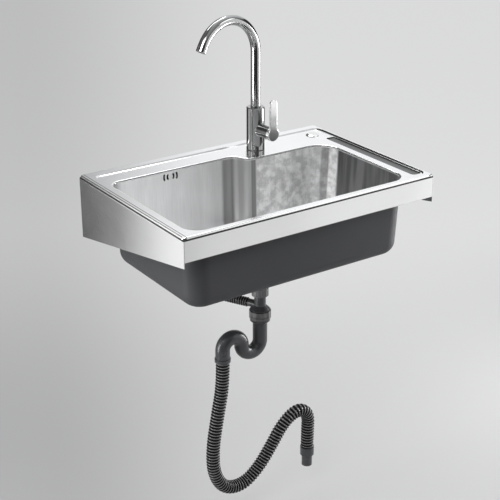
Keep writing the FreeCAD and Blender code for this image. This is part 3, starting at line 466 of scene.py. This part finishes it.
def polishedMetal(name, dark, pale, rough):
    finish = newFinish(name)
    smear = finish.noise(*polishing["smear"])
    scratch = finish.noise(*polishing["scratch"])
    smeared = rough + polishing["smearRough"] * (smear - polishing["smearMiddle"])
    return finish.surface(
        Base_Color=finish.blend(smear, dark, pale),
        Metallic=1.0,
        Roughness=smeared + polishing["scratchRough"] * (scratch - 0.5),
        Normal=finish.bump(scratch, polishing["relief"], polishing["reliefDepth"]),
    )


# bands darkened in the colour, as painted shadow and painted dark reflection: axis, span, softness and how
# much darker
sheetEdgeShadow = (2, 0.0266, 0.0290, 0.0003, 0.9)       # painted shadow along the bracket's upper edges, beside the dark seal
bossDarkReflection = (1, -0.125, -0.0845, 0.001, 0.6)        # painted dark reflection on the tap's side boss
aroundTap = (90, 90, 1300)

finishes = {
    "deckSteel": basinSteel("deckSteel", basinLook),
    "plateSteel": brushedSteel("plateSteel", dark=0.68, pale=0.84, stretch=(700, 8, 700), rough=0.20,
                               grain=0.05, relief=0.02, shadeBand=sheetEdgeShadow),
    "apronSteel": brushedSteel("apronSteel", dark=0.70, pale=0.86, stretch=(8, 700, 700), rough=0.20,
                               grain=0.08, shadeBand=sheetEdgeShadow),
    "strainerSteel": polishedMetal("strainerSteel", (0.52, 0.52, 0.53), (0.70, 0.70, 0.71), rough=0.26),
    "tapChrome": brushedSteel("tapChrome", dark=0.33, pale=0.45, stretch=aroundTap, rough=0.13,
                              grain=0.01, relief=0.0005),
    "bodyChrome": brushedSteel("bodyChrome", dark=0.34, pale=0.46, stretch=aroundTap, rough=0.12,
                               grain=0.02, relief=0.004, shadeBand=bossDarkReflection),
    "leverChrome": brushedSteel("leverChrome", dark=0.68, pale=0.82, stretch=(1100, 900, 70), rough=0.18,
                                grain=0.05),
    "pipeBlack": mouldedPlastic("pipeBlack", (0.026, 0.027, 0.029), (0.050, 0.051, 0.054),
                                rough=0.30, pebble=0.08),
    "hoseBlack": ribbedPlastic("hoseBlack", hoseLook),
    "slipGrey": nutPlastic("slipGrey", slipNut),
    "nutGrey": mouldedPlastic("nutGrey", (0.085, 0.085, 0.088), (0.14, 0.14, 0.145),
                              rough=0.42, pebble=0.12),
    "coatGrey": sprayedCoat("coatGrey", (0.033, 0.034, 0.036), (0.057, 0.058, 0.061)),
    "shellBlack": mouldedPlastic("shellBlack", (0.004, 0.004, 0.004), (0.010, 0.010, 0.010),
                                 rough=0.55, pebble=0.05),
    "sealBlack": softRubber("sealBlack", (0.010, 0.010, 0.010), (0.026, 0.026, 0.026)),
    "capChrome": polishedMetal("capChrome", (0.72, 0.72, 0.72), (0.86, 0.86, 0.86), rough=0.10),
    "rivetMetal": polishedMetal("rivetMetal", (0.55, 0.55, 0.55), (0.72, 0.72, 0.72), rough=0.30),
    "machinedBrass": polishedMetal("machinedBrass", (0.50, 0.36, 0.15), (0.70, 0.53, 0.26), rough=0.28),
    "plainSteel": polishedMetal("plainSteel", (0.42, 0.42, 0.43), (0.60, 0.60, 0.61), rough=0.34),
    "mouldWhite": mouldedPlastic("mouldWhite", (0.62, 0.62, 0.60), (0.76, 0.76, 0.74),
                                 rough=0.38, pebble=0.05),
}
wears = {
    "plateSteel": ["left_side_bracket", "right_side_bracket"],
    "apronSteel": ["front_apron", "rear_rail"],
    "deckSteel": ["sink_basin"],
    "strainerSteel": ["strainer_cup", "strainer_basket"],
    "rivetMetal": ["corner_rivets"],
    "sealBlack": ["rim_seal", "overflow_gasket", "strainer_gasket", "basket_seal", "coupling_washer",
                  "trap_washer", "tap_base_gasket", "tap_backing_rubber", "spout_o_rings"],
    "coatGrey": ["bowl_undercoat"],
    "shellBlack": ["overflow_housing"],
    "pipeBlack": ["strainer_lock_ring", "tailpiece", "trap_bend", "hose_end_adapter", "soap_hole_nut"],
    "slipGrey": ["trap_slip_nut"],
    "nutGrey": ["coupling_nut"],
    "hoseBlack": ["drain_hose", "overflow_hose"],
    "capChrome": ["soap_hole_cap", "basket_knob"],
    "tapChrome": ["spout_collar", "spout_tube", "spout_aerator"],
    "bodyChrome": ["tap_body"],
    "leverChrome": ["lever_handle"],
    "machinedBrass": ["tap_shank", "tap_mounting_nut", "valve_bonnet", "valve_stem"],
    "plainSteel": ["tap_backing_washer", "spout_clip", "lever_set_screw"],
    "mouldWhite": ["valve_cartridge", "aerator_insert"],
}
for finishName, names in wears.items():
    for name in names:
        for slot in nodes[name].material_slots:
            slot.material = finishes[finishName]
print("finishes on", sum(len(names) for names in wears.values()), "nodes")


# hoses

lineSteps = 48        # points between two of a route's
smoothAngle = 50      # degrees


def readLine(name, points):
    # the smooth line through a route, as points close together
    curve = bpy.data.curves.new(name, "CURVE")
    curve.dimensions = "3D"
    curve.resolution_u = lineSteps
    spline = curve.splines.new("NURBS")
    spline.points.add(len(points) - 1)
    for point, place in zip(spline.points, points):
        point.co = (*place, 1)
    spline.order_u = 3
    spline.use_endpoint_u = True
    holder = bpy.data.objects.new(name, curve)
    bpy.context.scene.collection.objects.link(holder)
    bpy.context.view_layer.update()
    mesh = bpy.data.meshes.new_from_object(holder)
    line = [vertex.co.copy() for vertex in mesh.vertices]
    bpy.data.meshes.remove(mesh)
    bpy.data.objects.remove(holder)
    bpy.data.curves.remove(curve)
    return line


def ribbedTube(name, hose):
    line = readLine(name + "Line", hose["route"])
    ends = [0.0]
    for a, b in zip(line, line[1:]):
        ends.append(ends[-1] + (b - a).length)
    total = ends[-1]
    count = round(total / hose["pitch"])
    step = total / count
    across = Vector(hose["across"])
    sides = hose["sides"]
    verts = []
    faces = []
    heights = []

    def addRing(distance, radius, height):
        index = 0
        while index < len(ends) - 2 and ends[index + 1] < distance:
            index += 1
        share = (distance - ends[index]) / (ends[index + 1] - ends[index])
        centre = line[index].lerp(line[index + 1], share)
        before = line[max(0, index - 1)]
        after = line[min(len(line) - 1, index + 2)]
        heading = (after - before).normalized()
        up = heading.cross(across).normalized()
        side = up.cross(heading)
        for i in range(sides):
            a = 2 * math.pi * i / sides
            verts.append(centre + side * (radius * math.cos(a)) + up * (radius * math.sin(a)))
            heights.append(height)

    for i in range(count):
        for share, height in hose["rib"]:
            radius = hose["valley"] + height * (hose["crest"] - hose["valley"])
            addRing((i + share) * step, radius, height)
    addRing(total, hose["valley"], 0.0)
    for i in range(count, -1, -1):
        addRing(i * step, hose["bore"], 0.0)
    rings = len(verts) // sides
    for r in range(rings):
        here = r * sides
        there = (r + 1) % rings * sides
        for i in range(sides):
            j = (i + 1) % sides
            faces.append((here + i, here + j, there + j, there + i))
    mesh = bpy.data.meshes.new(name)
    mesh.from_pydata(verts, [], faces)
    mesh.update()
    mesh.attributes.new("ribHeight", "FLOAT", "POINT").data.foreach_set("value", heights)
    tube = bpy.data.objects.new(name, mesh)
    bpy.context.scene.collection.objects.link(tube)
    bpy.ops.object.select_all(action="DESELECT")
    bpy.context.view_layer.objects.active = tube
    tube.select_set(True)
    bpy.ops.object.mode_set(mode="EDIT")
    bpy.ops.mesh.select_all(action="SELECT")
    bpy.ops.mesh.normals_make_consistent(inside=False)
    bpy.ops.object.mode_set(mode="OBJECT")
    bpy.ops.object.shade_smooth_by_angle(angle=math.radians(smoothAngle))
    mesh.materials.append(finishes["hoseBlack"])
    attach(tube, "sink")
    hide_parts(hose["node"])
    print(name, "length", round(total, 3), "ribs", count)
    return tube


drainHose = {
    "node": "drain_hose",
    "route": [
        (-0.119, -0.258, -0.38035), (-0.119, -0.258, -0.44035), (-0.134, -0.258, -0.51535),
        (-0.150, -0.258, -0.60535), (-0.147, -0.258, -0.67535), (-0.118, -0.258, -0.72535),
        (-0.066, -0.258, -0.73535), (-0.020, -0.258, -0.70435), (0.018, -0.258, -0.65535),
        (0.050, -0.258, -0.60735), (0.087, -0.258, -0.58235), (0.114, -0.258, -0.58635),
        (0.130, -0.258, -0.61035), (0.128, -0.258, -0.64535), (0.128, -0.258, -0.69535),
    ],
    "crest": 0.0162,
    "valley": 0.0136,
    "bore": 0.0122,
    "pitch": 0.0076,
    "rib": (               # shares of the pitch and of the rib's height
        (0.0, 0.0), (0.14, 0.05), (0.24, 0.55), (0.34, 0.92),
        (0.46, 1.0), (0.58, 0.92), (0.68, 0.55), (0.8, 0.05),
    ),
    "across": (0, 1, 0),
    "sides": 32,
    "farEnd": "fitting",
    "pieces": [nodes["hose_end_adapter"]],
}
ribbedTube("drainHose", drainHose)

overflowHose = {
    "node": "overflow_hose",
    "route": [
        (-0.137, -0.06381, -0.02252), (-0.137, -0.06508, -0.0685), (-0.137, -0.067, -0.158),
        (-0.126, -0.083, -0.222), (-0.095, -0.121, -0.258), (-0.064, -0.167, -0.266),
        (-0.04262, -0.20647, -0.2665), (-0.02977, -0.23135, -0.2665),
    ],
    "crest": 0.0112,
    "valley": 0.0096,
    "bore": 0.0082,
    "pitch": 0.006,
    "rib": ((0.0, 0.0), (0.2, 0.4), (0.36, 1.0), (0.56, 1.0), (0.72, 0.4)),
    "across": (60, 31, 0),
    "sides": 24,
    "farEnd": "object",
    "pieces": [],
}
ribbedTube("overflowHose", overflowHose)


# stage and light

stage = {
    "floorHeight": -0.82,
    "reach": 9.0,
    "floorColour": (0.62, 0.62, 0.63),
    "cloud": (0.8, 3, 0.5),   # scale, detail and roughness
    "cloudShade": 0.97,
    "rough": 0.9,
    "glowShare": 0.80,        # the rest of the floor's colour takes light and shadow
    "glow": (0.56, 0.80),     # near the sink, and far behind it
    "depth": (2.5, 4.4),      # where it turns from one to the other, in metres from the camera
    "leftDrop": 0.24,         # how much darker the left is than the right
    "leftSpan": (-0.20, 0.02),
}

# cards round the tap that show only in the metal
tent = {
    "centre": (0.106, -0.0625),
    "ahead": (-0.566, -0.824),     # from the tap to the camera
    "radius": 1.5,
    "cards": (                     # from and to in degrees right of that line, foot, top and shade
        (-148, -101, -0.80, 0.90, 0.09),
        (-97, -82, -0.80, 0.90, 1.30),
        (-77, -66, -0.80, 0.90, 0.08),
        (-64, -46, -0.80, 0.90, 1.30),
        (-44, 42, -0.80, 0.90, 0.05),
        (44, 57, -0.80, -0.40, 0.88),
        (58, 71, -0.80, -0.34, 1.00),
        (72, 97, -0.80, -0.30, 1.18),
        (45, 97, -0.27, 0.90, 1.20),
        (99, 148, -0.80, 0.90, 0.05),
    ),
}


def layFloor():
    bpy.ops.object.select_all(action="DESELECT")
    bpy.ops.mesh.primitive_plane_add(size=2 * stage["reach"], location=(0, 0, stage["floorHeight"]))
    floor = bpy.context.object
    floor.name = "floor"
    finish = newFinish("floorPale")
    cloud = finish.noise(*stage["cloud"])
    shaded = tuple(stage["cloudShade"] * part for part in stage["floorColour"])
    matt = finish.node("ShaderNodeBsdfPrincipled", {}, {
        "Base Color": finish.blend(cloud, shaded, stage["floorColour"]), "Roughness": stage["rough"]})
    eyeX, eyeY = shot["place"][0], shot["place"][1]
    awayX, awayY = -tent["ahead"][0], -tent["ahead"][1]
    x = finish.part(0) - eyeX
    y = finish.part(1) - eyeY
    depth = awayX * x + awayY * y
    side = (awayY * x - awayX * y) / depth
    level = finish.ease(depth, *stage["depth"], *stage["glow"])
    level = level - finish.ease(side, *stage["leftSpan"], stage["leftDrop"], 0.0)
    glow = finish.node("ShaderNodeEmission", {}, {"Color": finish.steelTint(level), "Strength": 1.0})
    seen = finish.node("ShaderNodeLightPath", out="Is Camera Ray")
    seen = seen + finish.node("ShaderNodeLightPath", out="Is Glossy Ray")
    seen = seen + finish.node("ShaderNodeLightPath", out="Is Transmission Ray")
    both = finish.node("ShaderNodeMixShader", {}, {0: stage["glowShare"] * seen, 1: matt, 2: glow})
    finish.node("ShaderNodeOutputMaterial", {}, {"Surface": both})
    floor.data.materials.append(finish.owner)


def standCard(name, start, end, foot, top, shade):
    turn = math.radians((start + end) / 2)
    aheadX, aheadY = tent["ahead"]
    way = Vector((aheadX * math.cos(turn) - aheadY * math.sin(turn),
                  aheadY * math.cos(turn) + aheadX * math.sin(turn), 0))
    width = 2 * tent["radius"] * math.tan(math.radians(end - start) / 2)
    place = Vector((*tent["centre"], (foot + top) / 2)) + way * tent["radius"]
    bpy.ops.object.select_all(action="DESELECT")
    bpy.ops.mesh.primitive_plane_add(size=1, location=place)
    card = bpy.context.object
    card.name = name
    card.rotation_euler = (-way).to_track_quat("Z", "Y").to_euler()
    card.scale = (width, top - foot, 1)
    finish = newFinish(name)
    glow = finish.node("ShaderNodeEmission", {}, {"Color": (1, 1, 1, 1), "Strength": shade})
    finish.node("ShaderNodeOutputMaterial", {}, {"Surface": glow})
    card.data.materials.append(finish.owner)
    card.visible_camera = False
    card.visible_diffuse = False
    card.visible_shadow = False


sky = {
    "front": 0.22,                 # level on the camera's side, behind the sink, and added overhead
    "back": 1.00,
    "top": 0.30,
    "frontSpan": (-0.5, 0.4),      # y of the way looked along, over which front turns into back
    "topSpan": (0.3, 0.9),         # z of it, over which the top comes in
    "leftSpan": (-0.20, -0.02),
    "left": 0.20,                  # what the left is multiplied by
    "tint": (0.98, 0.99, 1.0),
}


def fillWorld():
    world = bpy.data.worlds.new("studio")
    bpy.context.scene.world = world
    air = Finish(world)
    way = air.node("ShaderNodeTexCoord", out="Generated")
    over, depth, rise = (air.node("ShaderNodeSeparateXYZ", {}, {0: way}, out=axis) for axis in range(3))
    side = -tent["ahead"][1] * over + tent["ahead"][0] * depth
    level = air.ease(depth, *sky["frontSpan"], sky["front"], sky["back"])
    level = level + air.ease(rise, *sky["topSpan"], 0.0, sky["top"])
    level = level * air.ease(side, *sky["leftSpan"], sky["left"], 1.0)
    brightest = sky["back"] + sky["top"]
    colour = air.blend(1 / brightest * level, (0, 0, 0), sky["tint"])
    light = air.node("ShaderNodeBackground", {}, {"Color": colour, "Strength": brightest})
    air.node("ShaderNodeOutputWorld", {}, {"Surface": light})


lamps = {
    "keyLeft": {
        "place": (-1.9, -1.5, 1.9),
        "aim": (0, -0.2, -0.1),
        "size": (1.4, 1.4),
        "power": 56,
    },
    "fillRight": {
        "place": (1.8, -1.6, 1.0),
        "aim": (0, -0.2, -0.1),
        "size": (1.0, 1.6),
        "power": 14,
    },
    "lowLeft": {
        "place": (-1.25, -0.02, -0.35),
        "aim": (-0.06, -0.26, -0.45),
        "size": (0.35, 0.75),
        "power": 10,
    },
    "lowRight": {
        "place": (1.25, -0.50, -0.22),
        "aim": (-0.02, -0.26, -0.45),
        "size": (0.40, 0.80),
        "power": 15,
    },
    "topBack": {
        "place": (0.2, 0.9, 1.9),
        "aim": (0, -0.25, 0),
        "size": (1.6, 0.8),
        "power": 16,
    },
}


def addSoftbox(name, place, aim, size, power):
    bpy.ops.object.light_add(type="AREA", location=place)
    lamp = bpy.context.object
    lamp.name = name
    lamp.data.shape = "RECTANGLE"
    lamp.data.size, lamp.data.size_y = size
    lamp.data.energy = power
    lamp.visible_camera = False
    lamp.rotation_euler = (Vector(aim) - Vector(place)).to_track_quat("-Z", "Y").to_euler()


layFloor()
for number, card in enumerate(tent["cards"]):
    standCard("card" + str(number), *card)
fillWorld()
for lampName, settings in lamps.items():
    addSoftbox(lampName, **settings)
print("stage and light set")
